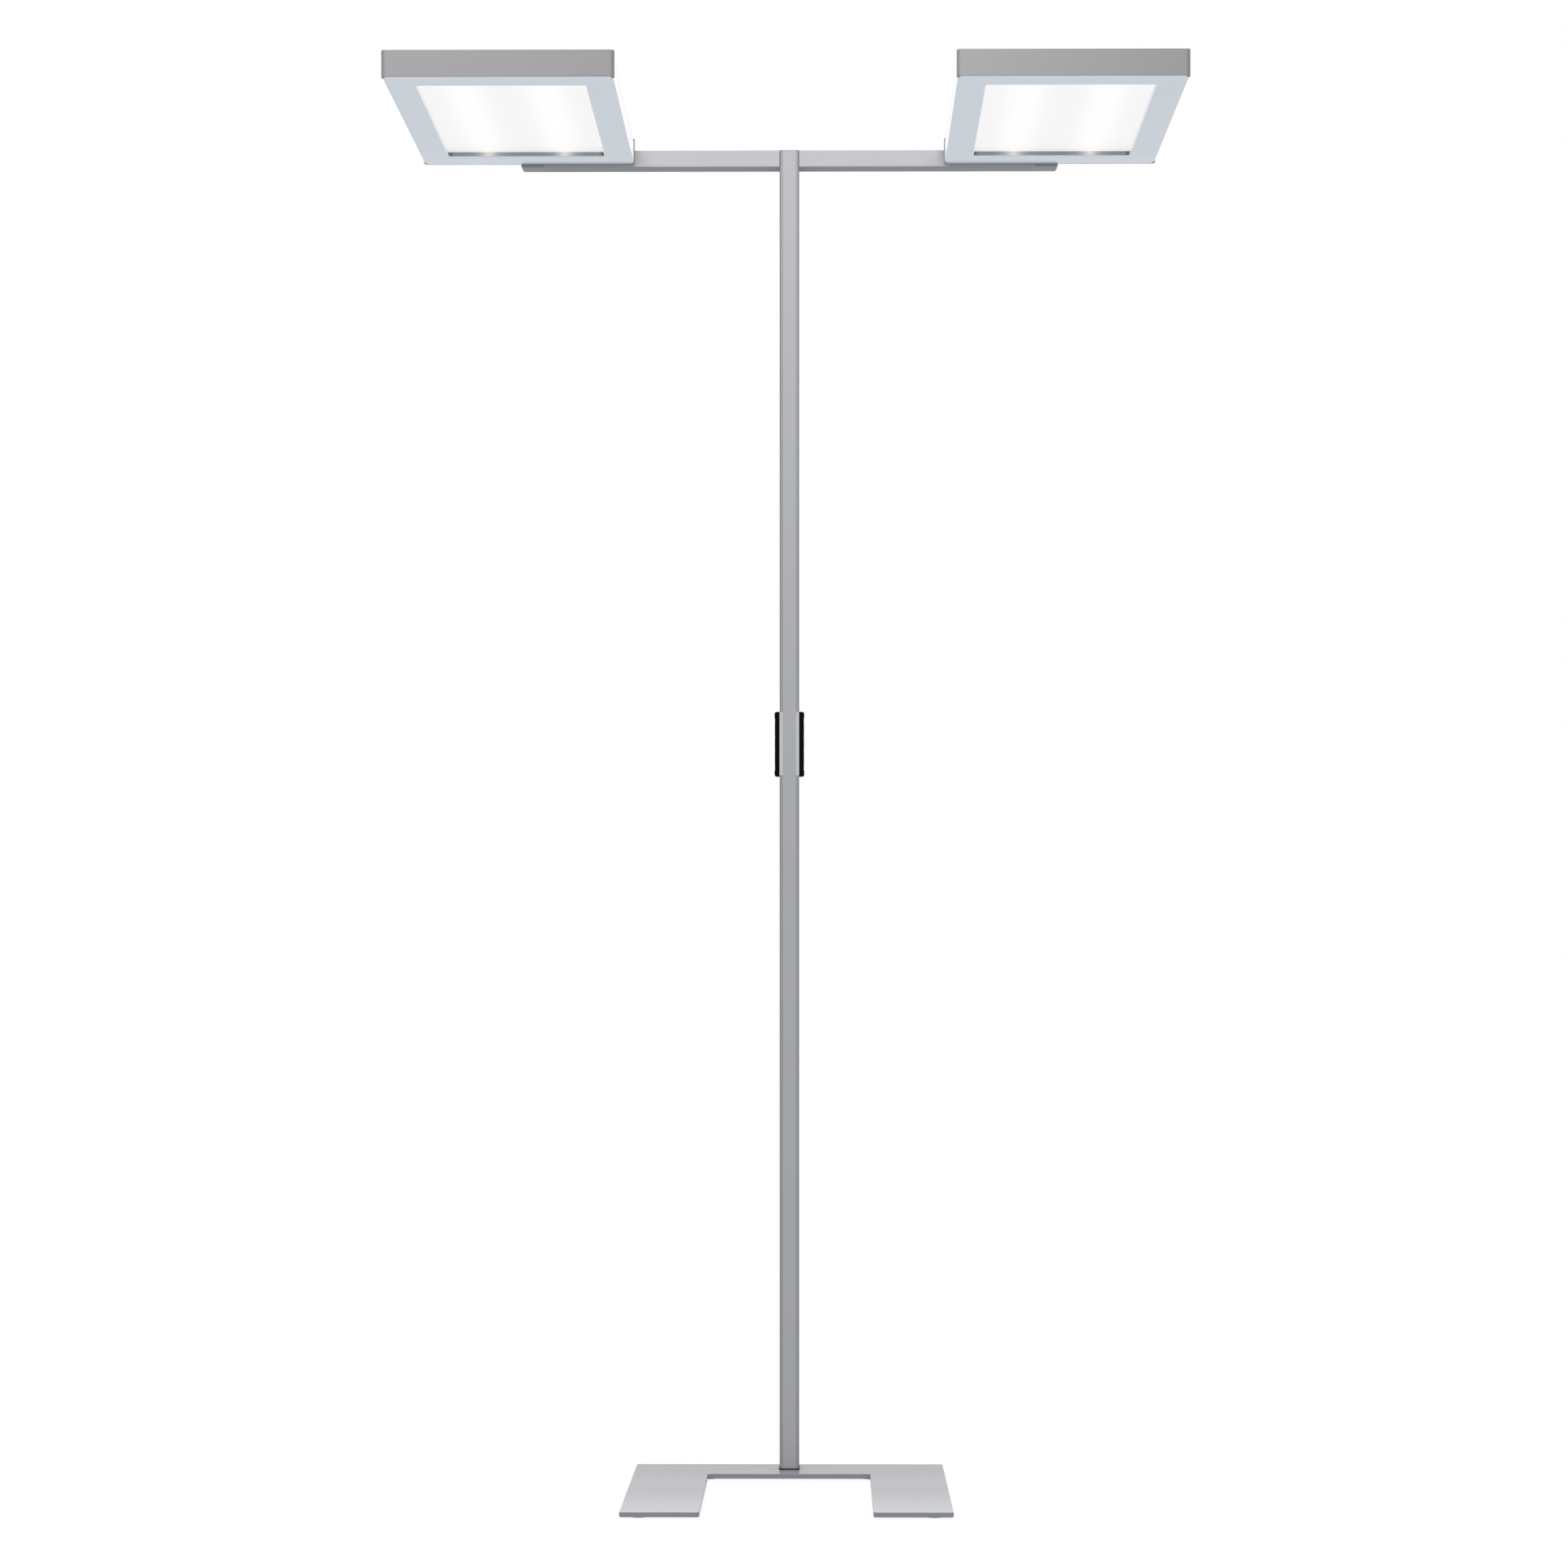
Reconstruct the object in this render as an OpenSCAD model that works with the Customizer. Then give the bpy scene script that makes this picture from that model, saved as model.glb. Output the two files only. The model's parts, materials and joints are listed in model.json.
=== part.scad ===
// Twin-head office floor lamp: a flat U-shaped foot, a slim post, a cross arm and
// two flat lamp heads that reach forward over the desks.
// Origin: on the floor, under the middle of the lamp's outline. +X is right, +Y is
// towards the back, +Z is up. The heads and the legs of the foot point along -Y.

/* [Whole lamp] */
// Height from the floor to the top of the heads
lamp_h = 1950; // [1600:10:2200]

/* [Base plate] */
// Width of the U-shaped plate
base_w = 451; // [400:1:520]
// Depth of the plate from its back edge to the tips of its legs
base_d = 528; // [440:1:600]
// Thickness of the plate
base_t = 7; // [6:1:12]
// Width of each leg
leg_w = 108; // [90:1:130]
// Depth of the bar that joins the legs
bar_d = 116; // [100:1:140]
// Radius of the plate's corners seen from above
base_corner_r = 4; // [2:1:10]
// Height of the glides under the plate
glide_h = 2; // [1:0.5:4]

/* [Post] */
// Width of the post seen from the front
post_w = 28.5; // [28:0.5:34]
// Depth of the post
post_d = 36; // [34:1:42]
// Wall of the post and the arms
tube_wall = 2.5; // [2:0.5:3]
// Distance from the plate's back edge forward to the post's front face
post_setback = 65.5; // [60:0.5:80]

/* [Arms] */
// Distance between the outer ends of the cross arm
arm_span = 784; // [760:2:840]
// Height of the arm's section
arm_h = 25; // [24:1:30]
// Length of the end piece that carries a head
bracket_w = 33; // [30:1:40]

/* [Heads] */
// Width of a head
head_w = 304; // [295:1:330]
// How far the end bars of a head stand out past its long sides
bar_proud = 1.5; // [0.5:0.5:3]
// Depth of a head
head_d = 590; // [585:1:620]
// Thickness of a head
head_t = 35; // [34:1:40]
// Distance between the middles of the two heads
head_pitch = 758; // [740:2:800]
// How far the underside of a head lies above the underside of the arm
head_lift = 4; // [3:0.5:6]
// Gap between the back of a head and the front of the arm
head_gap = 2; // [1:0.5:4]
// Width of the light window
window_w = 225; // [200:1:228]
// Depth of the light window
window_d = 471; // [440:1:475]
// Distance from the window to the back of the head
window_back = 61; // [58:1:64]
// How far the diffuser lies above the underside
recess_h = 6; // [5:0.5:7]
// Distance of each lamp from the middle of its head
lamp_x = 55; // [52:1:56]

/* [Controls] */
// Height of the middle of the control units above the floor
control_z = 1069; // [900:1:1200]
// Height of a control unit
control_h = 94.5; // [94:0.5:110]
// Depth of a control unit, front to back
control_d = 26; // [26:1:30]
// How far a control unit stands out from the post
control_t = 7.5; // [7:0.5:9]
// Depth of the dip in a control unit's face that leads the fingers to the keys
control_dip = 0.6; // [0.3:0.1:0.8]
// Travel of a key
key_travel = 0.5; // [0.3:0.1:0.5]

/* [Hidden] */

$fn = 48;
left = -1;
right = 1;

// Colours, as the photograph shows them
paint_grey = [0.77, 0.78, 0.80];
paint_warm = [0.66, 0.65, 0.67];
panel_blue = [0.79, 0.82, 0.85];
steel = [0.62, 0.63, 0.65];
polished = [0.85, 0.86, 0.88];
opal = [0.97, 0.97, 0.98];
clear = [0.90, 0.94, 0.97, 0.45];
black = [0.06, 0.06, 0.07];
board_green = [0.12, 0.35, 0.22];
white = [0.93, 0.93, 0.92];

// Where the main pieces lie
back_y = (post_setback + head_gap + head_d) / 2;
post_front_y = back_y - post_setback;
post_y = post_front_y + post_d / 2;
post_back_y = post_front_y + post_d;
base_top = glide_h + base_t;
ring_t = 1.2;
post_z = base_top + ring_t;
head_z = lamp_h - head_t;
head_y = post_front_y - head_gap;
arm_z = head_z - head_lift;
arm_top = arm_z + arm_h;
arm_end = arm_span / 2;
bracket_x = arm_end - bracket_w;

// Tubes and the pieces that fit inside them
tube_r = 2.5;
bore_r = 0.8;
fit_gap = 0.2;
post_bore_w = post_w - 2 * tube_wall;
post_bore_d = post_d - 2 * tube_wall;
arm_bore_h = arm_h - 2 * tube_wall;
joiner_reach = 70;
joiner_wall = 3;
joiner_h = arm_bore_h - 2 * fit_gap;
joiner_d = post_bore_d - 2 * fit_gap;

// Foot
base_edge_r = 1;
foot_block_h = 60;
foot_screw_pitch = 18;
foot_screw_r = 4;
foot_screw_len = 24;
glide_r = 14;
glide_inset = 26;
gland_z = 95;
gland_bore_r = 3.6;
gland_neck_r = 5.95;

// Bolts and screws
m6_r = 3;
m5_r = 2.5;
m3_r = 1.5;
hole_gap = 0.1;
bolt_pitch = 18;
bolt_z = 10.5;
bolt_head_r = 5;
bolt_head_h = 6;
end_bevel = 3;
wire_r = 4;
joiner_screw_x = [-62, -38, 0, 38, 62];
foot_block_screw_z = [24, 47];
panel_screw_x = 130;
panel_screw_z = 9;

// Head shell
corner_r = 6;
frame_wall = 2.5;
sheet = 1.5;
flange_t = 1.2;
flange_h = 16.5;
ledge_w = 6;
ledge_t = 3;
cover_t = 3;
trim_t = 1.2;
trim_flange = 8;
diffuser_t = 3;
cover_gap = 0.3;
cover_side_t = 2.3;
cover_bend_r = 3;
bar_end = 12;
backing_w = 120;
backing_h = 21;
backing_t = 4;

// Lamps: two folded glass tubes side by side, cap at the back
tube_glass_r = 8.75;
tube_pitch = 22;
tube_len = 503;
lamp_z = recess_h + diffuser_t + 10.5;
lamp_cap_w = 43;
lamp_cap_h = 20;
lamp_cap_d = 24;
holder_w = 46;
holder_d = 24;
holder_y = 14;
holder_h = 28;
saddle_w = 44;
saddle_d = 12;
saddle_h = 16;
saddle_y = 550;

// Reflector
reflector_d = 468;
reflector_t = 0.8;
reflector_top = lamp_z + 9.9;
reflector_foot = 6.5;
ridge_drop = 16;
slot_w = 12;
slot_l = 60;
slot_count = 5;

// Control gear
ballast_w = 25;
ballast_h = 21;
ballast_d = 340;
ballast_ear = 10;
terminal_w = 34;
terminal_d = 14;
terminal_h = 13;
terminal_poles = 5;

// Control units
control_wall = 1.5;
control_face = 1.8;
control_edge_r = 3;
control_plate_t = 1.2;
control_board_t = 1.2;
control_screw_z = 40;
board_w = 18;
board_h = 74;
switch_size = 6;
key_w = 16;
key_h = 18;
key_pitch = 21;
key_gap = 0.3;
key_corner_r = 1.5;
key_flange = 1;
key_flange_t = 0.8;
key_proud = 0.2;
control_face_z = control_t - control_dip;
dip_h = 76;
dip_slope = 1.5;
key_seat = control_t - control_face - key_flange_t;
switch_h = key_seat - control_plate_t - control_board_t - key_travel - 0.2;
lens_r = 1.5;
lens_z = 34.5;

// ---- Outlines ----

// Points of an arc round c, from angle a0 to angle a1
function arc(c, r, a0, a1, steps = 6) = [
    for (i = [0:steps])
        let (a = a0 + (a1 - a0) * i / steps)
        [c[0] + r * cos(a), c[1] + r * sin(a)]
];

// Rectangle with round corners, centred on the origin
function rounded_outline(w, h, r, steps = 6) = concat(
    arc([w / 2 - r, h / 2 - r], r, 0, 90, steps),
    arc([r - w / 2, h / 2 - r], r, 90, 180, steps),
    arc([r - w / 2, r - h / 2], r, 180, 270, steps),
    arc([w / 2 - r, r - h / 2], r, 270, 360, steps)
);

// ---- Solids that repeat ----

// Solid through a list of outlines with equal numbers of points, each at its own height
module lofted(outlines, heights) {
    n = len(outlines[0]);
    last = len(outlines) - 1;
    points = [for (k = [0:last], p = outlines[k]) [p[0], p[1], heights[k]]];
    walls = [
        for (k = [0:last - 1], i = [0:n - 1], half = [0:1])
            let (a = k * n + i, b = k * n + (i + 1) % n)
            half == 0 ? [a, a + n, b + n] : [a, b + n, b]
    ];
    floor_face = [for (i = [0:n - 1]) i];
    top_face = [for (i = [n - 1:-1:0]) last * n + i];
    polyhedron(points, concat([floor_face], walls, [top_face]), convexity = 4);
}

// Plate with round corners and both its edges rounded by e
module eased_plate(w, h, t, r, e) {
    turns = [0, 30, 60, 90];
    insets = [for (a = turns) e * (1 - sin(a))];
    rises = [for (a = turns) e * (1 - cos(a))];
    last = len(turns) - 1;
    up_and_back = concat([for (k = [0:last]) k], [for (k = [last:-1:0]) k]);
    lofted(
        [for (k = up_and_back)
            rounded_outline(w - 2 * insets[k], h - 2 * insets[k], r - insets[k])],
        concat(rises, [for (k = [last:-1:0]) t - rises[k]])
    );
}

// Block with round corners and only its top edge rounded by e
module eased_block(w, h, t, r, e) {
    turns = [0, 22.5, 45, 67.5, 90];
    insets = [for (a = turns) e * (1 - cos(a))];
    lofted(
        concat([rounded_outline(w, h, r)], [for (i = insets) rounded_outline(w - 2 * i, h - 2 * i, r - i)]),
        concat([0], [for (a = turns) t - e + e * sin(a)])
    );
}

// Flat ring between two rounded rectangles
module ring(w, h, r, inner_w, inner_h, inner_r, t) {
    linear_extrude(t) difference() {
        polygon(rounded_outline(w, h, r));
        polygon(rounded_outline(inner_w, inner_h, inner_r));
    }
}

// Rounded rectangular plate
module plate(w, h, r, t) {
    linear_extrude(t) polygon(rounded_outline(w, h, r));
}

// Rectangular tube with round corners
module tube(w, h, wall, length) {
    ring(w, h, tube_r, w - 2 * wall, h - 2 * wall, bore_r, length);
}

// Turns a solid so that its length runs along +X, its width along Y and its height along Z
module along_x() {
    rotate([90, 0, 90]) children();
}

// Turns a solid so that its length runs along -Y
module along_front() {
    rotate([90, 0, 0]) children();
}

// Screw along +Z from z = 0, with a domed head below it and a hexagon socket
module button_screw(r, length, head_r, head_h) {
    difference() {
        union() {
            cylinder(r = r, h = length);
            rotate_extrude() polygon(concat(
                [[0, -head_h], [0, 0], [head_r, 0]],
                [for (a = [15:15:75]) [head_r * cos(a), -head_h * sin(a)]]
            ));
        }
        translate([0, 0, -head_h - 0.1]) cylinder(r = 0.45 * head_r, h = 0.1 + 0.6 * head_h, $fn = 6);
    }
}

// Screw along +Z from z = 0, with a countersunk head that is flush with z = 0
module flat_screw(r, length, head_r, head_h) {
    difference() {
        rotate_extrude() polygon([
            [0, 0], [head_r, 0], [head_r, 0.5], [r, head_h], [r, length], [0, length]
        ]);
        translate([0, 0, -0.1]) cylinder(r = 0.4 * head_r, h = 0.1 + 0.6 * head_h, $fn = 6);
    }
}

// Puts a piece drawn for the right-hand side on either side
module on_side(side) {
    mirror([side == left ? 1 : 0, 0, 0]) children();
}

// Frame of a head: x from its middle, y = 0 at its back, z = 0 at its underside
module in_head(side) {
    on_side(side) translate([head_pitch / 2, head_y, head_z]) children();
}

// Frame of a control unit: z = 0 on the post's side face and pointing away from it,
// x to the back and y up
module in_control(side) {
    on_side(side) translate([post_w / 2, post_y, control_z]) along_x() children();
}

// ---- Foot ----

// Two legs and the bar between them, with a fillet in each inner corner
module base_plate() {
    inner_x = base_w / 2 - leg_w;
    bar_y = back_y - bar_d;
    color(paint_grey) translate([0, 0, glide_h]) difference() {
        union() {
            translate([0, back_y - bar_d / 2, 0])
                eased_plate(base_w, bar_d, base_t, base_corner_r, base_edge_r);
            for (s = [-1, 1]) translate([s * (base_w - leg_w) / 2, back_y - base_d / 2, 0])
                eased_plate(leg_w, base_d, base_t, base_corner_r, base_edge_r);
            for (side = [left, right]) on_side(side) translate([inner_x, bar_y, base_edge_r])
                linear_extrude(base_t - 2 * base_edge_r) polygon(concat(
                    [[1, 1], [-base_corner_r, 1]],
                    arc([-base_corner_r, -base_corner_r], base_corner_r, 90, 0),
                    [[1, -base_corner_r]]
                ));
        }
        for (s = [-1, 1]) translate([0, post_y + s * foot_screw_pitch / 2, 0]) {
            translate([0, 0, -0.1]) cylinder(r = foot_screw_r + 0.2, h = base_t + 0.2);
            translate([0, 0, -0.1]) cylinder(r = 8.1, h = 0.7);
            translate([0, 0, 0.6]) cylinder(r1 = 8.1, r2 = foot_screw_r + 0.2, h = 4);
        }
    }
}

module base_glides() {
    x = base_w / 2 - glide_inset;
    y_back = back_y - glide_inset;
    y_tip = back_y - base_d + glide_inset;
    color(black) {
        for (sx = [-1, 1], y = [y_back, y_tip])
            translate([sx * x, y, 0]) cylinder(r = glide_r, h = glide_h);
        for (sx = [-1, 1]) translate([sx * (base_w / 2 - leg_w), back_y - bar_d + glide_inset, 0])
            cylinder(r = glide_r, h = glide_h);
    }
}

module base_screws() {
    color(steel) for (s = [-1, 1]) translate([0, post_y + s * foot_screw_pitch / 2, glide_h])
        flat_screw(foot_screw_r, foot_screw_len, 8, 4.4);
}

module post_foot_ring() {
    color(black) translate([0, post_y, base_top]) difference() {
        plate(post_w + 2, post_d + 2, tube_r + 1, ring_t);
        for (s = [-1, 1])
            translate([0, s * foot_screw_pitch / 2, -0.1]) cylinder(r = foot_screw_r + 0.2, h = 2);
    }
}

module foot_block() {
    color(steel) translate([0, post_y, post_z]) difference() {
        plate(post_bore_w - 2 * fit_gap, post_bore_d - 2 * fit_gap, bore_r, foot_block_h);
        for (s = [-1, 1]) translate([0, s * foot_screw_pitch / 2, -0.1])
            cylinder(r = foot_screw_r + hole_gap, h = foot_screw_len - base_t - ring_t + 2);
        for (z = foot_block_screw_z)
            translate([0, post_d / 2, z]) along_front() cylinder(r = m5_r + hole_gap, h = 12);
    }
}

module foot_block_screws() {
    color(steel) for (z = foot_block_screw_z) translate([0, post_back_y, post_z + z])
        along_front() button_screw(m5_r, 11, 4.75, 2.6);
}

// Grommet in the post's back wall where the mains lead enters
module cable_gland() {
    color(black) translate([0, post_back_y, gland_z]) along_front() rotate_extrude() polygon([
        [gland_bore_r, -3], [8, -3], [9, -2], [9, 0], [gland_neck_r, 0], [gland_neck_r, tube_wall],
        [7.2, tube_wall], [gland_neck_r, tube_wall + 3], [gland_bore_r, tube_wall + 3]
    ]);
}

// ---- Post and cross arm ----

module post() {
    control_x = post_w / 2 - tube_wall - 1;
    color(paint_grey) difference() {
        translate([0, post_y, post_z]) tube(post_w, post_d, tube_wall, arm_top - post_z);
        // windows for the bar that joins the arms
        translate([-post_w / 2 - 1, post_y - post_bore_d / 2, arm_z + tube_wall])
            cube([post_w + 2, post_bore_d, arm_bore_h]);
        translate([0, post_back_y + 1, gland_z]) along_front()
            cylinder(r = gland_neck_r + 0.05, h = tube_wall + 2);
        for (z = foot_block_screw_z) translate([0, post_back_y + 1, post_z + z])
            along_front() cylinder(r = m5_r + hole_gap, h = tube_wall + 2);
        translate([0, post_back_y + 1, arm_z + arm_h / 2])
            along_front() cylinder(r = m5_r + hole_gap, h = tube_wall + 2);
        // wires and screws of the two control units
        for (side = [left, right]) on_side(side) translate([control_x, post_y, control_z]) along_x() {
            cylinder(r = wire_r, h = tube_wall + 2);
            for (s = [-1, 1])
                translate([0, s * control_screw_z, 0]) cylinder(r = m3_r + hole_gap, h = tube_wall + 2);
        }
    }
}

module post_cap() {
    cap_z = arm_z + tube_wall + joiner_h;
    color(paint_grey) translate([0, post_y, cap_z])
        plate(post_bore_w - fit_gap, post_bore_d - fit_gap, bore_r, arm_top - cap_z);
}

// Hollow bar through the top of the post, with an arm pushed over each end
module arm_joiner() {
    reach = post_w / 2 + joiner_reach;
    y = post_y + fit_gap;
    color(steel) difference() {
        translate([-reach, y, arm_z + tube_wall + joiner_h / 2]) along_x()
            ring(joiner_d, joiner_h, 1,
                joiner_d - 2 * joiner_wall, joiner_h - 2 * joiner_wall, 0.5, 2 * reach);
        for (x = joiner_screw_x) translate([x, post_back_y, arm_z + arm_h / 2])
            along_front() cylinder(r = m5_r + hole_gap, h = 12);
    }
}

module joiner_screws() {
    color(steel) for (x = joiner_screw_x) translate([x, post_back_y, arm_z + arm_h / 2])
        along_front() button_screw(m5_r, 9, 4.75, 2.6);
}

module arm(side) {
    color(paint_grey) on_side(side) difference() {
        translate([post_w / 2, post_y, arm_z + arm_h / 2]) along_x()
            tube(post_d, arm_h, tube_wall, bracket_x - post_w / 2);
        for (x = joiner_screw_x) if (x > post_w / 2) translate([x, post_back_y + 1, arm_z + arm_h / 2])
            along_front() cylinder(r = m5_r + hole_gap, h = tube_wall + 2);
    }
}

// ---- Head mounting ----

// End piece of the arm: a spigot in the tube and a pad against the back of the head
module head_bracket(side) {
    pad_h = arm_h - head_lift - 1;
    spigot = 30;
    color(paint_warm) on_side(side) difference() {
        union() {
            translate([bracket_x, post_y, arm_z + arm_h / 2]) along_x()
                eased_block(post_d, arm_h, bracket_w, tube_r, 1.5);
            translate([bracket_x - spigot, post_y, arm_z + arm_h / 2]) along_x()
                plate(post_bore_d, arm_bore_h, bore_r, spigot + 1);
            translate([bracket_x + 1.5, head_y, head_z]) cube([bracket_w - 4, head_gap + 2, pad_h]);
        }
        // the lower edge of the outer end
        translate([arm_end, post_back_y + 1, arm_z]) along_front() linear_extrude(post_d + 2)
            polygon([[-end_bevel - 1, -1], [1, end_bevel + 1], [1, -1]]);
        translate([bracket_x + bracket_w / 2, post_back_y, head_z + bolt_z]) {
            for (s = [-1, 1]) translate([s * bolt_pitch / 2, 0, 0]) along_front() {
                translate([0, 0, -1]) cylinder(r = m6_r + 0.2, h = post_d + head_gap + 2);
                translate([0, 0, -1]) cylinder(r = bolt_head_r + 0.3, h = bolt_head_h + 2);
            }
            translate([0, -post_d / 2, 0]) along_front() cylinder(r = wire_r, h = post_d);
            translate([-bracket_w / 2 - spigot - 1, -post_d / 2, 0]) along_x()
                cylinder(r = wire_r, h = bracket_w / 2 + spigot + 1);
        }
    }
}

// Places a row of two bolts along -Y, centred on the end piece
module at_bolts(side, y) {
    on_side(side) for (s = [-1, 1])
        translate([bracket_x + bracket_w / 2 + s * bolt_pitch / 2, y, head_z + bolt_z])
            along_front() children();
}

module head_bolts(side) {
    grip = post_d - bolt_head_h - 1 + head_gap + frame_wall + flange_t + backing_t;
    color(steel) at_bolts(side, post_back_y - 1) difference() {
        union() {
            cylinder(r = bolt_head_r, h = bolt_head_h);
            translate([0, 0, bolt_head_h]) cylinder(r = m6_r, h = grip);
        }
        translate([0, 0, -0.1]) cylinder(r = 2.9, h = 3.6, $fn = 6);
    }
}

// Steel strip inside the head that spreads the load of the bolts
module backing_plate(side) {
    y = head_y - frame_wall - flange_t;
    color(steel) difference() {
        in_head(side) translate([0, -frame_wall - flange_t, sheet + backing_h / 2])
            along_front() plate(backing_w, backing_h, 2, backing_t);
        at_bolts(side, y + 1) cylinder(r = m6_r + hole_gap, h = backing_t + 2);
        on_side(side) translate([bracket_x + bracket_w / 2, y + 1, head_z + bolt_z])
            along_front() cylinder(r = wire_r, h = backing_t + 2);
    }
}

// ---- Heads ----

// Bores in the back of a head for the bolts and the wires
module back_bores(side, depth) {
    at_bolts(side, head_y + 1) cylinder(r = m6_r + 0.2, h = depth);
    on_side(side) translate([bracket_x + bracket_w / 2, head_y + 1, head_z + bolt_z])
        along_front() cylinder(r = wire_r, h = depth);
    in_head(side) for (s = [-1, 1]) translate([s * panel_screw_x, 1, panel_screw_z])
        along_front() cylinder(r = m3_r + hole_gap, h = depth);
}

// Front and back bars, each with its corners, and the slim rails between them that carry
// the top cover
module head_frame(side) {
    inner_w = head_w - 2 * frame_wall;
    inner_d = head_d - 2 * frame_wall;
    inner_r = corner_r - frame_wall;
    color(paint_warm) difference() {
        in_head(side) translate([0, -head_d / 2, 0]) {
            ring(head_w + 2 * bar_proud, head_d, corner_r, inner_w, inner_d, inner_r, head_t);
            translate([0, 0, head_t - cover_t - ledge_t])
                ring(inner_w + 1, inner_d + 1, corner_r - 1,
                    inner_w - 2 * ledge_w, inner_d - 2 * ledge_w, 1, ledge_t);
        }
        in_head(side) for (s = [-1, 1]) translate([s * (inner_w / 2 + 5) - 5, bar_end - head_d, -1])
            cube([10, head_d - 2 * bar_end, head_t + 2]);
        back_bores(side, frame_wall + 2);
    }
}

// Sheet tray that closes the underside between the bars, with folded flanges and the light
// window
module bottom_panel(side) {
    side_d = head_d - 2 * (bar_end + cover_gap);
    inner_w = head_w - 2 * frame_wall;
    inner_d = head_d - 2 * frame_wall;
    inner_r = corner_r - frame_wall;
    hole_w = window_w + 2 * trim_t;
    hole_d = window_d + 2 * trim_t;
    color(panel_blue) difference() {
        in_head(side) {
            translate([0, -head_d / 2, 0]) {
                plate(inner_w, inner_d, inner_r, sheet);
                translate([-head_w / 2, -side_d / 2, 0]) cube([head_w, side_d, sheet]);
                ring(inner_w, inner_d, inner_r, inner_w - 2 * flange_t, inner_d - 2 * flange_t,
                    inner_r - flange_t, flange_h + sheet);
            }
        }
        in_head(side) translate([0, -window_back - window_d / 2, -1]) plate(hole_w, hole_d, 3, sheet + 2);
        back_bores(side, frame_wall + flange_t + 2);
    }
}

module panel_screws(side) {
    color(steel) in_head(side) for (s = [-1, 1]) translate([s * panel_screw_x, 0, panel_screw_z])
        along_front() button_screw(m3_r, 6, 2.8, 1.6);
}

// Polished lining of the window: its flanges rest on the panel and carry the diffuser
module window_trim(side) {
    w = window_w + 2 * trim_t;
    d = window_d + 2 * trim_t;
    r = 3;
    inner_r = r - trim_t;
    flange_w = window_w + 2 * trim_flange;
    flange_d = window_d + 2 * trim_flange;
    color(polished) in_head(side) translate([0, -window_back - window_d / 2, 0]) {
        translate([0, 0, 0.3]) ring(w, d, r, window_w, window_d, inner_r, recess_h - 0.3);
        for (z = [sheet, recess_h - 1]) translate([0, 0, z])
            ring(flange_w, flange_d, r, window_w + 1, window_d + 1, inner_r, 1);
    }
}

module diffuser(side) {
    w = window_w + 2 * trim_flange;
    d = window_d + 2 * trim_flange;
    color(opal) in_head(side)
        translate([0, -window_back - window_d / 2, recess_h]) plate(w, d, 2, diffuser_t);
}

// Points along one side of a reflector trough, from the middle of the lamp outwards: the sheet
// falls by drop over reach, along a cubic curve
function trough(reach, drop, steps = 12) = [
    for (i = [1:steps]) [lamp_x + reach * i / steps, reflector_top - drop * pow(i / steps, 3)]
];

// Sheet reflector: a trough over each lamp, a ridge between them and slots for the uplight
module reflector(side) {
    foot_z = recess_h + diffuser_t;
    reach = window_w / 2 + trim_flange - 2 - reflector_foot - lamp_x;
    inner = trough(-lamp_x, ridge_drop);
    outer = trough(reach, reflector_top - foot_z - reflector_t);
    upper = concat(
        [for (i = [len(inner) - 1:-1:0]) inner[i]],
        [[lamp_x, reflector_top]],
        outer,
        [[lamp_x + reach + reflector_foot, foot_z + reflector_t]]
    );
    last = len(upper) - 1;
    lower = [for (i = [last:-1:0]) [upper[i][0], upper[i][1] - reflector_t]];
    outline = concat(
        [for (i = [last:-1:1]) [-upper[i][0], upper[i][1]]],
        upper,
        lower,
        [for (i = [1:last]) [-upper[i][0], upper[i][1] - reflector_t]]
    );
    slot_pitch = reflector_d / slot_count;
    color(polished) in_head(side) difference() {
        translate([0, -window_back - (window_d - reflector_d) / 2, 0]) along_front()
            linear_extrude(reflector_d) polygon(outline);
        for (s = [-1, 1], k = [0:slot_count - 1])
            translate([s * lamp_x, -window_back - 1.5 - (k + 0.5) * slot_pitch, reflector_top - 4])
                plate(slot_w, slot_l, 3, 8);
    }
}

// Acrylic cover, bent down over both long sides of the head, with a tongue to each bar
module top_cover(side) {
    w = head_w - 2 * frame_wall - 2 * cover_gap;
    d = head_d - 2 * frame_wall - 2 * cover_gap;
    under_z = head_t - cover_t;
    inner_x = head_w / 2 - cover_side_t;
    profile = concat(
        [[head_w / 2, sheet]],
        arc([head_w / 2 - cover_bend_r, head_t - cover_bend_r], cover_bend_r, 0, 90),
        arc([cover_bend_r - head_w / 2, head_t - cover_bend_r], cover_bend_r, 90, 180),
        [[-head_w / 2, sheet], [-inner_x, sheet], [-inner_x, under_z], [inner_x, under_z], [inner_x, sheet]]
    );
    color(clear) in_head(side) {
        translate([0, -head_d / 2, under_z]) plate(w, d, corner_r - frame_wall, cover_t);
        translate([0, -bar_end - cover_gap, 0]) along_front()
            linear_extrude(head_d - 2 * (bar_end + cover_gap)) polygon(profile);
    }
}

// One folded lamp along -Y: two glass tubes, the bridge near their tips and the cap
module lamp() {
    bridge_y = tube_len - 22;
    along_front() {
        for (s = [-1, 1]) translate([s * tube_pitch / 2, 0, lamp_cap_d]) {
            cylinder(r = tube_glass_r, h = tube_len - tube_glass_r);
            translate([0, 0, tube_len - tube_glass_r]) sphere(r = tube_glass_r);
        }
        translate([-lamp_cap_w / 2, -lamp_cap_h / 2, 0]) cube([lamp_cap_w, lamp_cap_h, lamp_cap_d]);
    }
    translate([-tube_pitch / 2, -lamp_cap_d - bridge_y, 0]) along_x() cylinder(r = 4.5, h = tube_pitch);
}

module lamps(side) {
    color(opal) in_head(side) for (s = [-1, 1])
        translate([s * lamp_x, -holder_y - holder_d, lamp_z]) lamp();
}

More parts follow.
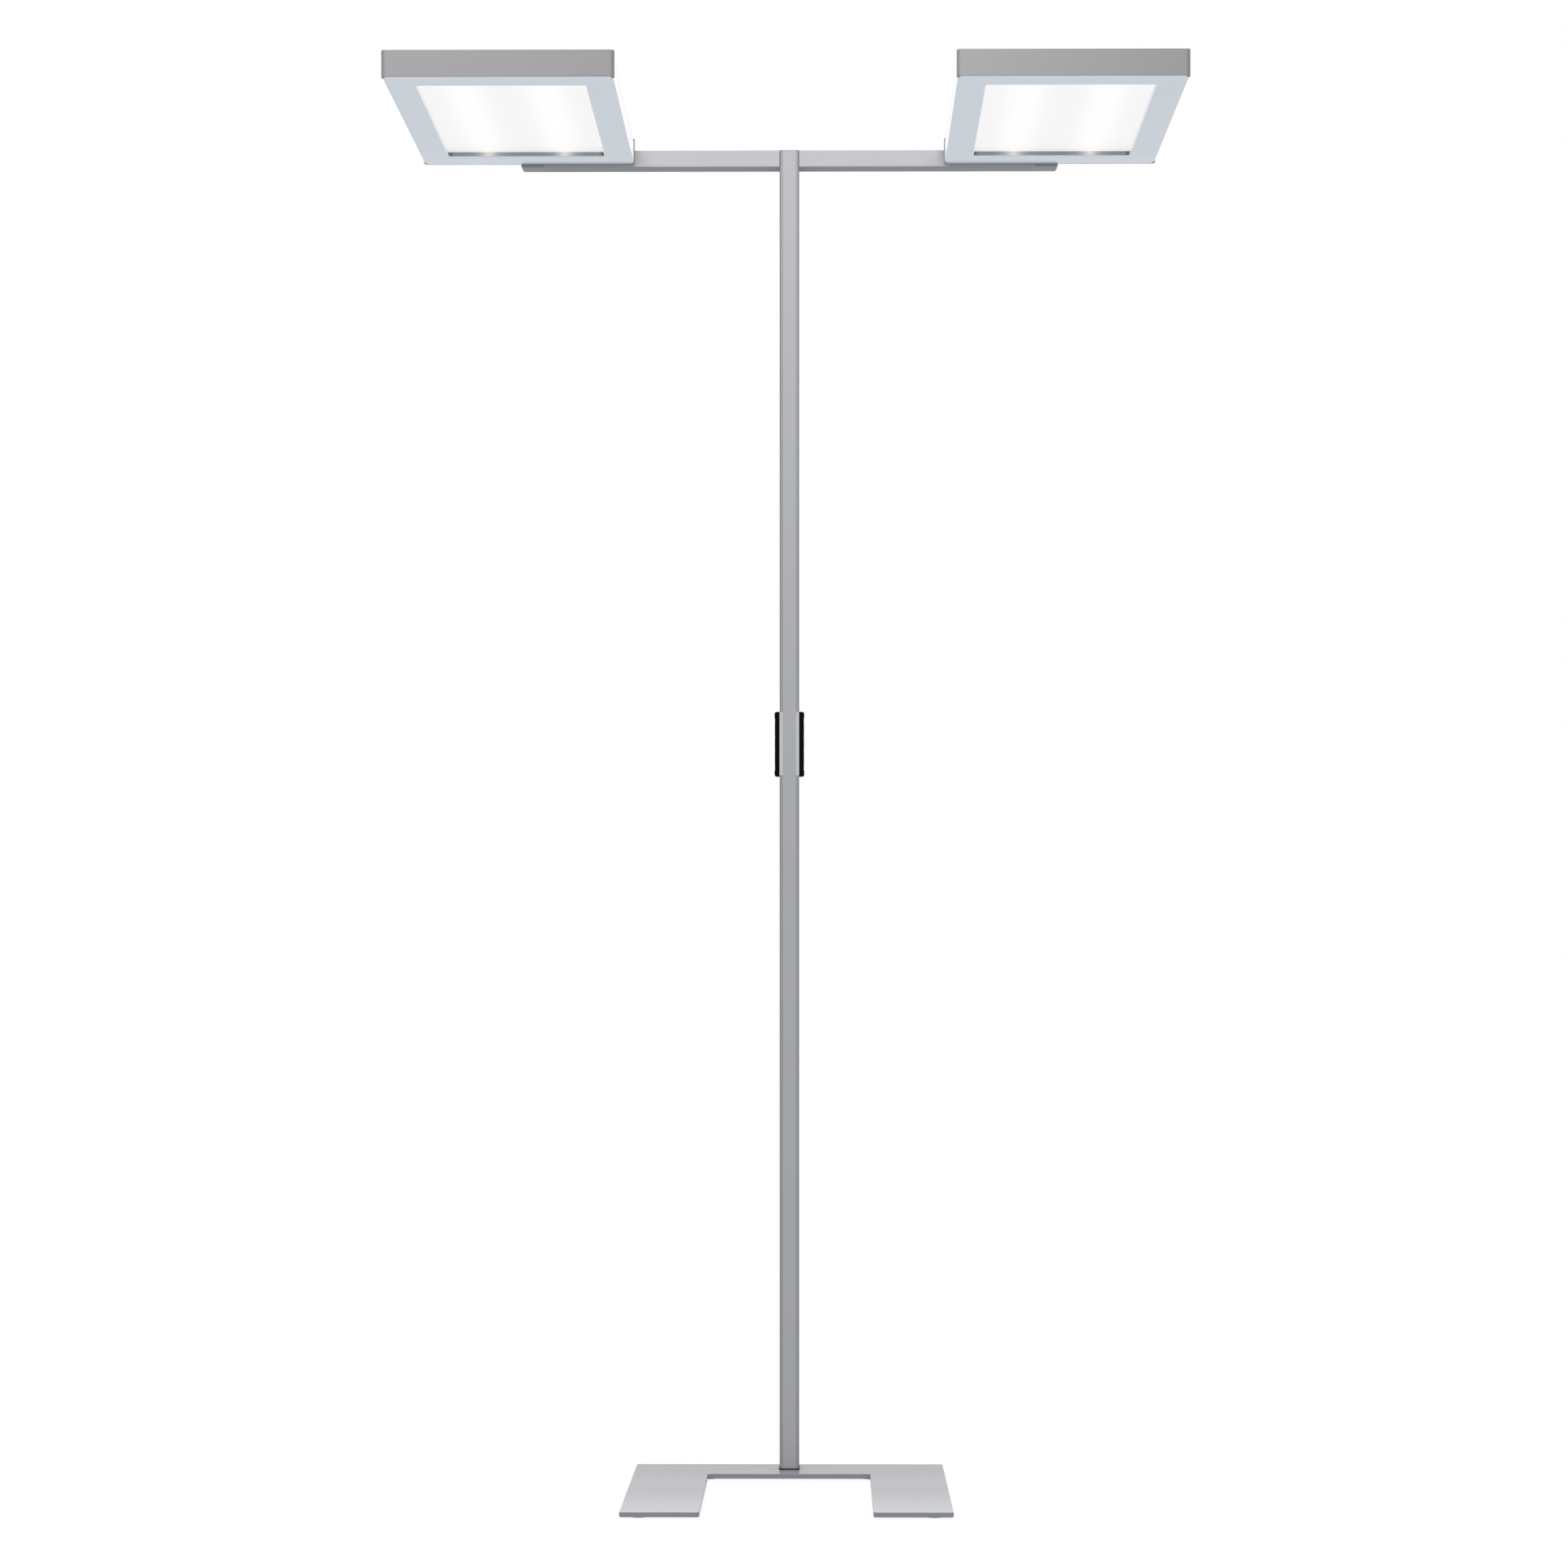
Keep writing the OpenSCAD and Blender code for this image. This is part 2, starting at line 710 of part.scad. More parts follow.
// Sockets for the lamp caps, standing on the bottom panel
module lamp_holders(side) {
    foot_t = 2;
    color(white) in_head(side) for (s = [-1, 1]) translate([s * lamp_x, -holder_y - holder_d / 2, sheet]) {
        difference() {
            translate([0, holder_d / 2, holder_h / 2]) along_front()
                eased_block(holder_w, holder_h, holder_d, 2, 1);
            // entries for the wires
            for (x = [-15, -5, 5, 15])
                translate([x, holder_d / 2 + 1, 6]) along_front() cylinder(r = 1.2, h = 9);
        }
        translate([0, holder_d / 2 + 1.2, 0]) plate(holder_w - 10, 5, 1, foot_t);
    }
}

// Saddles that hold the tips of the lamps
module lamp_saddles(side) {
    color(white) in_head(side) for (s = [-1, 1]) translate([s * lamp_x, -saddle_y, 0]) along_front()
        linear_extrude(saddle_d) difference() {
            translate([-saddle_w / 2, sheet]) square([saddle_w, saddle_h]);
            for (t = [-1, 1]) translate([t * tube_pitch / 2, lamp_z]) circle(r = tube_glass_r + 0.05);
            translate([-saddle_w / 2 + 6, sheet + 2]) square([saddle_w - 12, 4]);
        }
}

// Electronic ballast beside the window, on the side nearer to the post
module ballast(side) {
    x = (window_w / 2 + trim_flange + head_w / 2 - frame_wall - flange_t) / 2;
    length = ballast_d + 2 * ballast_ear;
    color(steel) in_head(side) translate([-x, -head_d / 2, sheet]) difference() {
        union() {
            translate([0, ballast_d / 2, ballast_h / 2]) along_front()
                eased_block(ballast_w, ballast_h, ballast_d, 1.5, 0.5);
            plate(ballast_w, length, 3, 1);
        }
        for (s = [-1, 1]) translate([0, s * (length / 2 - 5), -1]) cylinder(r = 2.1, h = 3);
        for (k = [-3:3]) translate([k * 3, ballast_d / 2 + 1, 6]) along_front() cylinder(r = 0.9, h = 7);
    }
}

module terminal_block(side) {
    pole = terminal_w / terminal_poles;
    color(white) in_head(side) translate([-panel_screw_x + 10, -32, sheet]) difference() {
        translate([-terminal_w / 2, -terminal_d / 2, 0]) cube([terminal_w, terminal_d, terminal_h]);
        for (k = [0:terminal_poles - 1]) translate([(k + 0.5) * pole - terminal_w / 2, 0, 0]) {
            translate([0, terminal_d / 2 + 1, 5]) along_front() cylinder(r = 1.6, h = terminal_d + 2);
            translate([0, 0, 8]) cylinder(r = 1.5, h = terminal_h);
        }
    }
}

// ---- Control units ----

module control_plate(side) {
    color(black) in_control(side) difference() {
        plate(control_d - 2 * control_wall - 0.2, control_h - 2 * control_wall - 0.2, 2, control_plate_t);
        translate([0, 0, -1]) cylinder(r = wire_r, h = 4);
        for (s = [-1, 1]) translate([0, s * control_screw_z, -1]) cylinder(r = m3_r + hole_gap, h = 4);
    }
}

module control_screws(side) {
    color(steel) in_control(side) for (s = [-1, 1])
        translate([0, s * control_screw_z, control_plate_t]) rotate([180, 0, 0])
            button_screw(m3_r, control_plate_t + tube_wall + 1, 2.6, 1.5);
}

// Circuit board with a switch under each key and the status light
module control_board(side) {
    color(board_green) in_control(side) translate([0, 0, control_plate_t]) {
        plate(board_w, board_h, 1, control_board_t);
        for (k = [-1:1]) translate([0, k * key_pitch, control_board_t])
            plate(switch_size, switch_size, 0.8, switch_h);
    }
}

// Moulded shell with rounded edges, a dip between its ends, an opening for each key and one
// for the status light
module control_housing(side) {
    cavity_t = control_t - control_face;
    color(black) in_control(side) difference() {
        eased_block(control_d, control_h, control_t, control_edge_r + 1, control_edge_r);
        translate([-control_d / 2 - 1, 0, 0]) along_x() linear_extrude(control_d + 2) polygon([
            [-dip_h / 2, control_face_z], [dip_h / 2, control_face_z],
            [dip_h / 2 + dip_slope, control_t + 0.1], [-dip_h / 2 - dip_slope, control_t + 0.1]
        ]);
        translate([0, 0, -1])
            plate(control_d - 2 * control_wall, control_h - 2 * control_wall, 2.2, cavity_t + 1);
        for (k = [-1:1]) translate([0, k * key_pitch, 0])
            plate(key_w + 2 * key_gap, key_h + 2 * key_gap, key_corner_r + key_gap, control_t + 1);
        translate([0, lens_z, 0]) cylinder(r = lens_r + 0.05, h = control_t + 1);
    }
}

module status_lens(side) {
    foot = control_plate_t + control_board_t;
    color(opal) in_control(side)
        translate([0, lens_z, foot]) cylinder(r = lens_r, h = control_face_z - foot);
}

// Key cap with the flange that keeps it behind the face; position is 1 up, 0 middle, -1 down
module key(side, position) {
    color(black) in_control(side) translate([0, position * key_pitch, key_seat]) {
        plate(key_w + 2 * key_flange, key_h + 2 * key_flange, key_corner_r + 0.5, key_flange_t);
        eased_block(key_w, key_h, control_face_z - key_seat + key_proud, key_corner_r, 0.4);
    }
}

base_plate();
base_glides();
base_screws();
post_foot_ring();
foot_block();
foot_block_screws();
cable_gland();
post();
post_cap();
arm_joiner();
joiner_screws();
arm(left);  // arm_left
arm(right);  // arm_right
head_bracket(left);  // head_bracket_left
head_bracket(right);  // head_bracket_right
head_bolts(left);  // head_bolts_left
head_bolts(right);  // head_bolts_right
backing_plate(left);  // backing_plate_left
backing_plate(right);  // backing_plate_right
head_frame(left);  // head_frame_left
head_frame(right);  // head_frame_right
bottom_panel(left);  // bottom_panel_left
bottom_panel(right);  // bottom_panel_right
panel_screws(left);  // panel_screws_left
panel_screws(right);  // panel_screws_right
window_trim(left);  // window_trim_left
window_trim(right);  // window_trim_right
diffuser(left);  // diffuser_left
diffuser(right);  // diffuser_right
reflector(left);  // reflector_left
reflector(right);  // reflector_right
top_cover(left);  // top_cover_left
top_cover(right);  // top_cover_right
lamps(left);  // lamps_left
lamps(right);  // lamps_right
lamp_holders(left);  // lamp_holders_left
lamp_holders(right);  // lamp_holders_right
lamp_saddles(left);  // lamp_saddles_left
lamp_saddles(right);  // lamp_saddles_right
ballast(left);  // ballast_left
ballast(right);  // ballast_right
terminal_block(left);  // terminal_block_left
terminal_block(right);  // terminal_block_right
control_plate(left);  // control_plate_left
control_plate(right);  // control_plate_right
control_screws(left);  // control_screws_left
control_screws(right);  // control_screws_right
control_board(left);  // control_board_left
control_board(right);  // control_board_right
control_housing(left);  // control_housing_left
control_housing(right);  // control_housing_right
status_lens(left);  // status_lens_left
status_lens(right);  // status_lens_right
key(left, 1);  // key_up_left
key(right, 1);  // key_up_right
key(left, 0);  // key_power_left
key(right, 0);  // key_power_right
key(left, -1);  // key_down_left
key(right, -1);  // key_down_right
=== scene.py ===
import json
import math

import bmesh
import bpy
from mathutils import Euler, Matrix, Vector


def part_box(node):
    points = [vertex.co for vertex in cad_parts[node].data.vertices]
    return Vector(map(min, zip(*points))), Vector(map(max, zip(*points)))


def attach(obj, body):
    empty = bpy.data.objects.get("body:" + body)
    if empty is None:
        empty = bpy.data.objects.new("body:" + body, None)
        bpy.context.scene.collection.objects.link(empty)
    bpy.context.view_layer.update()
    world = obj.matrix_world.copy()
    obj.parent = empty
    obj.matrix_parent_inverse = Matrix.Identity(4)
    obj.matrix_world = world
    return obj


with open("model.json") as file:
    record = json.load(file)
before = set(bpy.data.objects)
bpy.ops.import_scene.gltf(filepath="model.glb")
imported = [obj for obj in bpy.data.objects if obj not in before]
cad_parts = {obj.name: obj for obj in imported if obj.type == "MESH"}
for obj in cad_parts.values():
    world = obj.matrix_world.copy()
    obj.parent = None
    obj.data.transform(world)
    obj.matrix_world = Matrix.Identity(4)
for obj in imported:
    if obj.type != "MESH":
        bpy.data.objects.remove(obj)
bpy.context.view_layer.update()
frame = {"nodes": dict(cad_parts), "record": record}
nodes = frame["nodes"]
scene = bpy.context.scene
mm = 0.001
print("frame loaded:", len(nodes), "nodes")


photoCamera = {
    "film": 36,  # sensor width, in millimetres
    "side": 1932,  # the photograph's side, in pixels
    "focal": 5005,  # in pixels of the photograph
    "axis": (975, 1188.6),  # where the level line of sight meets the photograph
    "distance": 5932 * mm,  # from the front of the post
    "height": 746.4 * mm,
    "sideways": 51.7 * mm,
    "turn": 0.00823,  # radians, towards the left head
    "far": 100,  # nothing further away is drawn
}


def placeCamera(look):
    data = bpy.data.cameras.new("photo_camera")
    data.sensor_width = look["film"]
    data.lens = look["focal"] / look["side"] * look["film"]
    data.shift_x = 0.5 - look["axis"][0] / look["side"]
    data.shift_y = look["axis"][1] / look["side"] - 0.5
    data.clip_end = look["far"]
    camera = bpy.data.objects.new("photo_camera", data)
    scene.collection.objects.link(camera)
    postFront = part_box("post")[0][1]
    camera.location = (look["sideways"], postFront - look["distance"], look["height"])
    camera.rotation_euler = Euler((math.pi / 2, 0, look["turn"]))
    scene.camera = camera


placeCamera(photoCamera)
print("camera placed")


class Value:
    # one number socket; sums written with it add Math nodes
    def __init__(self, graph, socket):
        self.graph = graph
        self.socket = socket

    def maths(self, operation, *terms):
        node = self.graph.add("ShaderNodeMath", {"operation": operation}, dict(enumerate(terms)))
        return Value(self.graph, node.outputs[0])

    def __add__(self, other):
        return self.maths("ADD", self, other)

    def __radd__(self, other):
        return self.maths("ADD", other, self)

    def __sub__(self, other):
        return self.maths("SUBTRACT", self, other)

    def __rsub__(self, other):
        return self.maths("SUBTRACT", other, self)

    def __mul__(self, other):
        return self.maths("MULTIPLY", self, other)

    def __rmul__(self, other):
        return self.maths("MULTIPLY", other, self)

    def __truediv__(self, other):
        return self.maths("DIVIDE", self, other)

    def __rtruediv__(self, other):
        return self.maths("DIVIDE", other, self)

    def __pow__(self, other):
        return self.maths("POWER", self, other)

    def __abs__(self):
        return self.maths("ABSOLUTE", self)

    def sine(self):
        return self.maths("SINE", self)

    def sign(self):
        return self.maths("SIGN", self)

    def clamped(self):
        return self.maths("MINIMUM", self.maths("MAXIMUM", self, 0), 1)

    def rise(self, low, high):  # 0 at low, 1 at high, smooth between
        t = ((self - low) / (high - low)).clamped()
        return t * t * (3 - 2 * t)

    def hump(self, width):  # 1 at 0, a half at the width, then fading
        return 1 / (1 + (self / width) ** 2)


class Graph:
    # a node tree and the one way that nodes get into it
    def __init__(self, tree):
        self.tree = tree
        tree.nodes.clear()

    # settings come first, then what the sockets hold or link to
    def add(self, kind, settings=None, sockets=None):
        node = self.tree.nodes.new(kind)
        for key, setting in (settings or {}).items():
            if key == "stops":
                self.setStops(node.color_ramp, setting)
            else:
                setattr(node, key, setting)
        for key, given in (sockets or {}).items():
            self.fill(node.inputs[key], given)
        return node

    def fill(self, socket, given):
        if isinstance(given, Value):
            self.tree.links.new(given.socket, socket)
        elif isinstance(given, bpy.types.NodeSocket):
            self.tree.links.new(given, socket)
        elif socket.type == "RGBA":
            socket.default_value = (*given, 1)
        else:
            socket.default_value = given

    def setStops(self, ramp, stops):
        while len(ramp.elements) < len(stops):
            ramp.elements.new(1)
        for element, (place, colour) in zip(ramp.elements, stops):
            element.position = place
            element.color = (*colour, 1)

    def split(self, vector):
        parts = self.add("ShaderNodeSeparateXYZ", sockets={"Vector": vector}).outputs
        return [Value(self, part) for part in parts]

    def blend(self, amount, first, second):  # two colours, by a number from 0 to 1
        return self.add("ShaderNodeMix", {"data_type": "RGBA"}, {
            "Factor": amount, 6: first, 7: second}).outputs[2]

    def times(self, first, second):  # two colours multiplied
        return self.add("ShaderNodeMix", {"data_type": "RGBA", "blend_type": "MULTIPLY"}, {
            "Factor": 1, 6: first, 7: second}).outputs[2]

    def ramp(self, amount, stops):
        return self.add("ShaderNodeValToRGB", {"stops": stops}, {"Fac": amount}).outputs[0]


class Finish(Graph):
    # one material: a Principled shader and whatever feeds it
    def __init__(self, name, constants):
        self.material = bpy.data.materials.new(name)
        self.material.use_nodes = True
        super().__init__(self.material.node_tree)
        self.shader = self.add("ShaderNodeBsdfPrincipled", sockets=constants)
        self.add("ShaderNodeOutputMaterial", sockets={"Surface": self.shader.outputs[0]})
        place = self.add("ShaderNodeTexCoord")
        self.spots = place.outputs["Object"]
        self.normal = place.outputs["Normal"]
        self.x, self.y, self.z = self.split(self.spots)

    def feed(self, **links):  # underscores stand for the spaces in socket names
        for key, given in links.items():
            self.fill(self.shader.inputs[key.replace("_", " ")], given)
        return self.material

    def noise(self, scale, detail=2, roughness=0.5, stretch=(1, 1, 1)):
        mapping = self.add("ShaderNodeMapping", sockets={"Vector": self.spots, "Scale": stretch})
        texture = self.add("ShaderNodeTexNoise", sockets={
            "Vector": mapping.outputs[0], "Scale": scale, "Detail": detail, "Roughness": roughness})
        return Value(self, texture.outputs[0])

    def softEdges(self, radius):  # normals that turn smoothly over the edges
        return self.add("ShaderNodeBevel", {"samples": 4}, {"Radius": radius}).outputs[0]

    def edgeWear(self, radius):  # 0 on the flat, towards 1 on edges
        true = self.add("ShaderNodeNewGeometry").outputs["Normal"]
        dot = self.add("ShaderNodeVectorMath", {"operation": "DOT_PRODUCT"}, {
            0: self.softEdges(radius), 1: true})
        return (8 * (1 - Value(self, dot.outputs["Value"]))).clamped()

    def bump(self, height, distance, strength=1, edge=0):
        sockets = {"Height": height, "Distance": distance, "Strength": strength}
        if edge:
            sockets["Normal"] = self.softEdges(edge)
        return self.add("ShaderNodeBump", sockets=sockets).outputs[0]


def scaled(colour, factor):
    return [min(1, channel * factor) for channel in colour]


coatLook = {
    "foot": {
        "node": "base_plate", "colour": (0.415, 0.42, 0.455), "rough": 0.27, "coat": 0,
        "pebble": 0.016 * mm,  # height of the bumps
        "uprightShade": 0.67,  # tone of the painted shade on the upright faces
        "front": 1.45, "back": 0.80,  # tone of the painted light and shade at both ends
        "end": 0.9},  # share of each half that the painted change of tone takes
    "panel": {
        "node": "bottom_panel_right", "colour": (0.85, 0.87, 0.92), "rough": 0.42, "coat": 1,
        # the panel's two ends are made lighter with painted light
        "pebble": 0.012 * mm, "uprightShade": 1, "front": 1.08, "back": 1.11, "end": 0.22},
}


# powder coat: fine pebbled skin, uneven in gloss and tone, with painted light and shade
# at the ends and painted shade on the upright faces
def powderCoat(name, look):
    paint = Finish(name, {"Coat Weight": look["coat"], "Coat Roughness": 0.12})
    pebbles = paint.noise(850, 3)  # about a millimetre apart
    drift = paint.noise(3, 2)  # over a third of a metre
    wear = paint.edgeWear(0.8 * mm)
    # painted shade: faces that stand upright are darker than the flat ones
    upright = 1 - abs(paint.split(paint.normal)[2]).rise(0.3, 0.8)
    # painted light and shade: the tone changes towards the front and back ends
    low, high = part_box(look["node"])
    middle = (low[1] + high[1]) / 2
    inner = (high[1] - low[1]) / 2 * (1 - look["end"])
    front = paint.y.rise(middle - inner, low[1])
    back = paint.y.rise(middle + inner, high[1])
    plain = paint.blend(front, look["colour"], scaled(look["colour"], look["front"]))
    shaded = paint.blend(back, plain, scaled(look["colour"], look["back"]))
    grain = paint.blend(0.7 * drift + 0.3 * pebbles, (0.95, 0.95, 0.95), (1, 1, 1))
    tone = paint.times(shaded, grain)
    worn = paint.blend(0.3 * wear, tone, scaled(look["colour"], 1.3))
    return paint.feed(
        Base_Color=paint.blend(upright, worn, scaled(look["colour"], look["uprightShade"])),
        Roughness=look["rough"] - 0.06 + 0.12 * pebbles - 0.06 * wear,
        Normal=paint.bump(pebbles, look["pebble"], 0.6, edge=0.6 * mm))


# round is the radius that the edges seem to have, and grain stretches the draw lines; the tones for
# the post's edges, the arm's underside and a head's right end are painted shade
lacquerLook = {
    "post": {
        "colour": (0.45, 0.452, 0.465), "metal": 0.15, "shine": 0.3, "rough": 0.42,
        "round": 3 * mm, "grain": (60, 60, 1), "rim": 5 * mm, "paintedRimShade": 0.78},
    "arm": {
        "colour": (0.61, 0.605, 0.625), "metal": 0, "shine": 0.1, "rough": 0.5,
        "round": 0.6 * mm, "grain": (1, 60, 60), "paintedShadeUnder": 0.68},
    "head": {
        "colour": (0.334, 0.327, 0.337), "metal": 0.15, "shine": 0.25, "rough": 0.48,
        "round": 0.6 * mm, "grain": (1, 60, 60), "paintedShadeRightward": 0.84},
    "bracket": {
        "colour": (0.36, 0.38, 0.40), "metal": 0.15, "shine": 0.2, "rough": 0.5,
        "round": 0.6 * mm, "grain": (8, 8, 8)},
    "clip": {
        "colour": (0.62, 0.625, 0.65), "metal": 0.1, "shine": 0.3, "rough": 0.4,
        "round": 0.2 * mm, "grain": (60, 60, 1)},
}


# satin lacquer over an extrusion: faint draw lines along its length; painted shade makes the arm
# darker underneath, the post along both edges, and each head towards its right end
def satinLacquer(name, look):
    paint = Finish(name, {"Metallic": look["metal"], "Specular IOR Level": look["shine"]})
    lines = paint.noise(14, 3, 0.6, stretch=look["grain"])
    drift = paint.noise(2.5, 2)
    fine = paint.noise(1300, 2)
    tone = paint.blend(
        0.5 * drift + 0.5 * lines, scaled(look["colour"], 0.95), scaled(look["colour"], 1.05))
    wear = paint.edgeWear(0.7 * mm)
    # painted shade: faces turned downwards are darker
    if "paintedShadeUnder" in look:
        under = paint.split(paint.normal)[2].rise(-0.3, -0.8)
        tone = paint.blend(under, tone, scaled(look["colour"], look["paintedShadeUnder"]))
    # painted shade along both edges of the post's front
    if "paintedRimShade" in look:
        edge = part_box("post")[1][0] - look["rim"]
        rim = abs(paint.x).rise(edge - 0.5 * mm, edge + 0.5 * mm)
        tone = paint.blend(rim, tone, scaled(look["colour"], look["paintedRimShade"]))
    # painted shade: each head gets darker towards its right end
    if "paintedShadeRightward" in look:
        low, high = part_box("head_frame_right")
        middle = (low[0] + high[0]) / 2
        along = paint.x.sign() * (abs(paint.x) - middle) / (high[0] - middle)  # -1 to 1
        tone = paint.times(tone, paint.blend(0.5 + 0.5 * along, (1, 1, 1), [look["paintedShadeRightward"]] * 3))
    return paint.feed(
        Base_Color=paint.blend(0.25 * wear, tone, scaled(look["colour"], 1.4)),
        Roughness=look["rough"] - 0.05 + 0.07 * lines + 0.04 * fine,
        Normal=paint.bump(0.7 * lines + 0.3 * fine, 0.010 * mm, 0.5, edge=look["round"]))


sheetLook = {"dark": (0.68, 0.69, 0.70), "bright": (0.76, 0.765, 0.77), "rough": 0.16}


# rolled aluminium sheet with fine lines along it and a few smears
def polishedSheet(name, look):
    sheet = Finish(name, {"Metallic": 1})
    smears = sheet.noise(18, 3)
    rolled = sheet.noise(20, 2, stretch=(40, 1, 1))
    return sheet.feed(
        Base_Color=sheet.blend(rolled, look["dark"], look["bright"]),
        Roughness=look["rough"] + 0.12 * smears,
        Normal=sheet.bump(rolled, 0.01 * mm, 0.4))


zincLook = {"colour": (0.46, 0.47, 0.48), "rough": 0.35}


# zinc plate: cloudy crystals
def zincSteel(name, look):
    zinc = Finish(name, {"Metallic": 1})
    cloud = zinc.noise(160, 4)
    return zinc.feed(
        Base_Color=zinc.blend(cloud, scaled(look["colour"], 0.85), scaled(look["colour"], 1.2)),
        Roughness=look["rough"] - 0.08 + 0.16 * cloud,
        Normal=zinc.bump(cloud, 0.01 * mm, 0.4, edge=0.2 * mm))


plasticLook = {
    "black": {"colour": (0.002, 0.002, 0.0025), "rough": 0.5, "shine": 0.05},
    "key": {"colour": (0.009, 0.009, 0.011), "rough": 0.42, "shine": 0.2},
    "white": {"colour": (0.80, 0.80, 0.78), "rough": 0.45, "shine": 0.5},
    "glide": {"colour": (0.03, 0.03, 0.03), "rough": 0.6, "shine": 0.3},
    "rubber": {"colour": (0.012, 0.012, 0.012), "rough": 0.75, "shine": 0.25},
}


# moulded plastic or rubber with a spark-eroded grain
def mouldedPlastic(name, look):
    plastic = Finish(name, {"Specular IOR Level": look["shine"]})
    grain = plastic.noise(2200, 3)
    drift = plastic.noise(25, 2)
    return plastic.feed(
        Base_Color=plastic.blend(drift, scaled(look["colour"], 0.85), scaled(look["colour"], 1.15)),
        Roughness=look["rough"] - 0.06 + 0.1 * grain,
        Normal=plastic.bump(grain, 0.012 * mm, 0.5, edge=0.15 * mm))


# where the lamps lie in a head, for the light that they give
lampCap = {"width": 43 * mm, "depth": 24 * mm}  # the plastic cap at the back of a lamp
lampsLow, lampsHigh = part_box("lamps_right")
headMiddle = (lampsLow[0] + lampsHigh[0]) / 2
lampOffset = (lampsHigh[0] - lampsLow[0] - lampCap["width"]) / 2


def fromLamp(finish):  # sideways distance to the nearer lamp
    return abs(abs(abs(finish.x) - headMiddle) - lampOffset)


diffuserLook = {
    "dark": (0.50, 0.50, 0.51),
    "light": (0.56, 0.56, 0.57),
    "band": 52 * mm,  # from a lamp to where its light is weakest
    "prism": 4 * mm,
    "bands": [  # the glow, from a lamp's middle outwards
        (0, (0.64, 0.618, 0.592)), (0.2, (0.634, 0.61, 0.585)), (0.7, (0.58, 0.554, 0.537)),
        (1, (0.57, 0.542, 0.526))],
}


# opal sheet with fine prisms, lit by the lamps above it
def litDiffuser(name, look):
    opal = Finish(name, {"Roughness": 0.4, "Emission Strength": 1})
    turns = 2 * math.pi / look["prism"]
    prisms = (opal.x * turns).sine() * (opal.y * turns).sine()
    cloud = opal.noise(40, 2)
    glow = opal.ramp((fromLamp(opal) / look["band"]).clamped(), look["bands"])
    return opal.feed(
        Base_Color=opal.blend(cloud, look["dark"], look["light"]),
        Emission_Color=glow,
        Normal=opal.bump(prisms, 0.05 * mm, 0.5))


lampLook = {
    "powder": [(0.82, 0.82, 0.80), (0.90, 0.90, 0.88)],
    "glow": (1.0, 0.985, 0.95),
    "warmGlow": (0.95, 0.78, 0.55),
    "dim": 60 * mm,  # length of the warm stretch next to the cap
    "strength": 1.6,
}


# folded tubes: warm near the cap, with the white cap itself unlit
def lampGlass(name, look):
    glass = Finish(name, {"Emission Strength": look["strength"]})
    capFront = lampsHigh[1] - lampCap["depth"]
    lit = glass.y.rise(capFront, capFront - 2 * mm)
    warm = glass.y.rise(capFront - look["dim"], capFront)
    powder = glass.noise(300, 2)
    glow = glass.blend(warm, look["glow"], look["warmGlow"])
    return glass.feed(
        Base_Color=glass.blend(powder, *look["powder"]),
        Roughness=0.5 - 0.35 * lit,
        Emission_Color=glass.blend(lit, (0, 0, 0), glow))


liningLook = {
    "side": (0.90, 0.91, 0.92),
    # the end walls' dark colour is painted shade
    "end": (0.27, 0.285, 0.30),
    # painted lamp light: colour of the warm spots on the end walls
    "glow": (0.45, 0.41, 0.37),
    "spot": 15 * mm,  # half the width of a lamp's painted warm spot
    "corner": 9 * mm,  # the painted shade at both ends of an end wall
    "flange": 8 * mm,  # from the lining's outer edge to the window
}


# polished lining of the window; its end walls are darkened with painted shade and show the lamps as
# painted warm spots of light
def windowLining(name, look):
    lining = Finish(name, {"Metallic": 1, "Emission Strength": 1})
    low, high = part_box("window_trim_right")
    halfWidth = (high[0] - low[0]) / 2 - look["flange"]
    endWall = abs(lining.split(lining.normal)[1]).rise(0.6, 0.9)
    # painted lamp light: a warm spot on the end wall facing each lamp
    spot = fromLamp(lining).hump(look["spot"]) ** 2 * endWall
    corner = abs(abs(lining.x) - headMiddle).rise(halfWidth - look["corner"], halfWidth)
    smears = lining.noise(60, 3)
    # painted shade on the end walls, darkest at their corners, over real smears
    smearedShadedEnd = lining.blend(smears, scaled(look["end"], 0.9), scaled(look["end"], 1.1))
    end = lining.blend(corner, smearedShadedEnd, scaled(look["end"], 0.4))
    return lining.feed(
        Base_Color=lining.blend(endWall, look["side"], end),
        Roughness=0.22 + 0.1 * smears,
        Emission_Color=lining.blend(spot, (0, 0, 0), look["glow"]))


coverLook = {
    "clear": (0.72, 0.78, 0.82),
    "veil": 0.16,  # how much the clear top hides
    "frosted": (0.80, 0.80, 0.81),
    "sideGlow": (0.36, 0.36, 0.36),
    "bend": (1 * mm, 5 * mm),  # below the top, where clear turns to frosted
}


# acrylic: a clear top with some dust on it, and frosted sides that glow
def acrylicCover(name, look):
    cover = Finish(name, {"IOR": 1.49, "Emission Strength": 1})
    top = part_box("top_cover_right")[1][2]
    side = cover.z.rise(top - look["bend"][0], top - look["bend"][1])
    frost = cover.noise(700, 3)
    dust = cover.noise(9, 4)
    return cover.feed(
        Base_Color=cover.blend(side, look["clear"], look["frosted"]),
        Roughness=0.06 + 0.10 * dust + (0.2 + 0.16 * frost) * side,
        Alpha=look["veil"] + 0.10 * dust + 0.68 * side,
        Emission_Color=cover.blend(side, (0, 0, 0), look["sideGlow"]),
        Normal=cover.bump(frost * side, 0.01 * mm, 0.3, edge=0.5 * mm))


boardLook = {"bare": (0.02, 0.10, 0.05), "track": (0.04, 0.20, 0.09), "rough": 0.3}


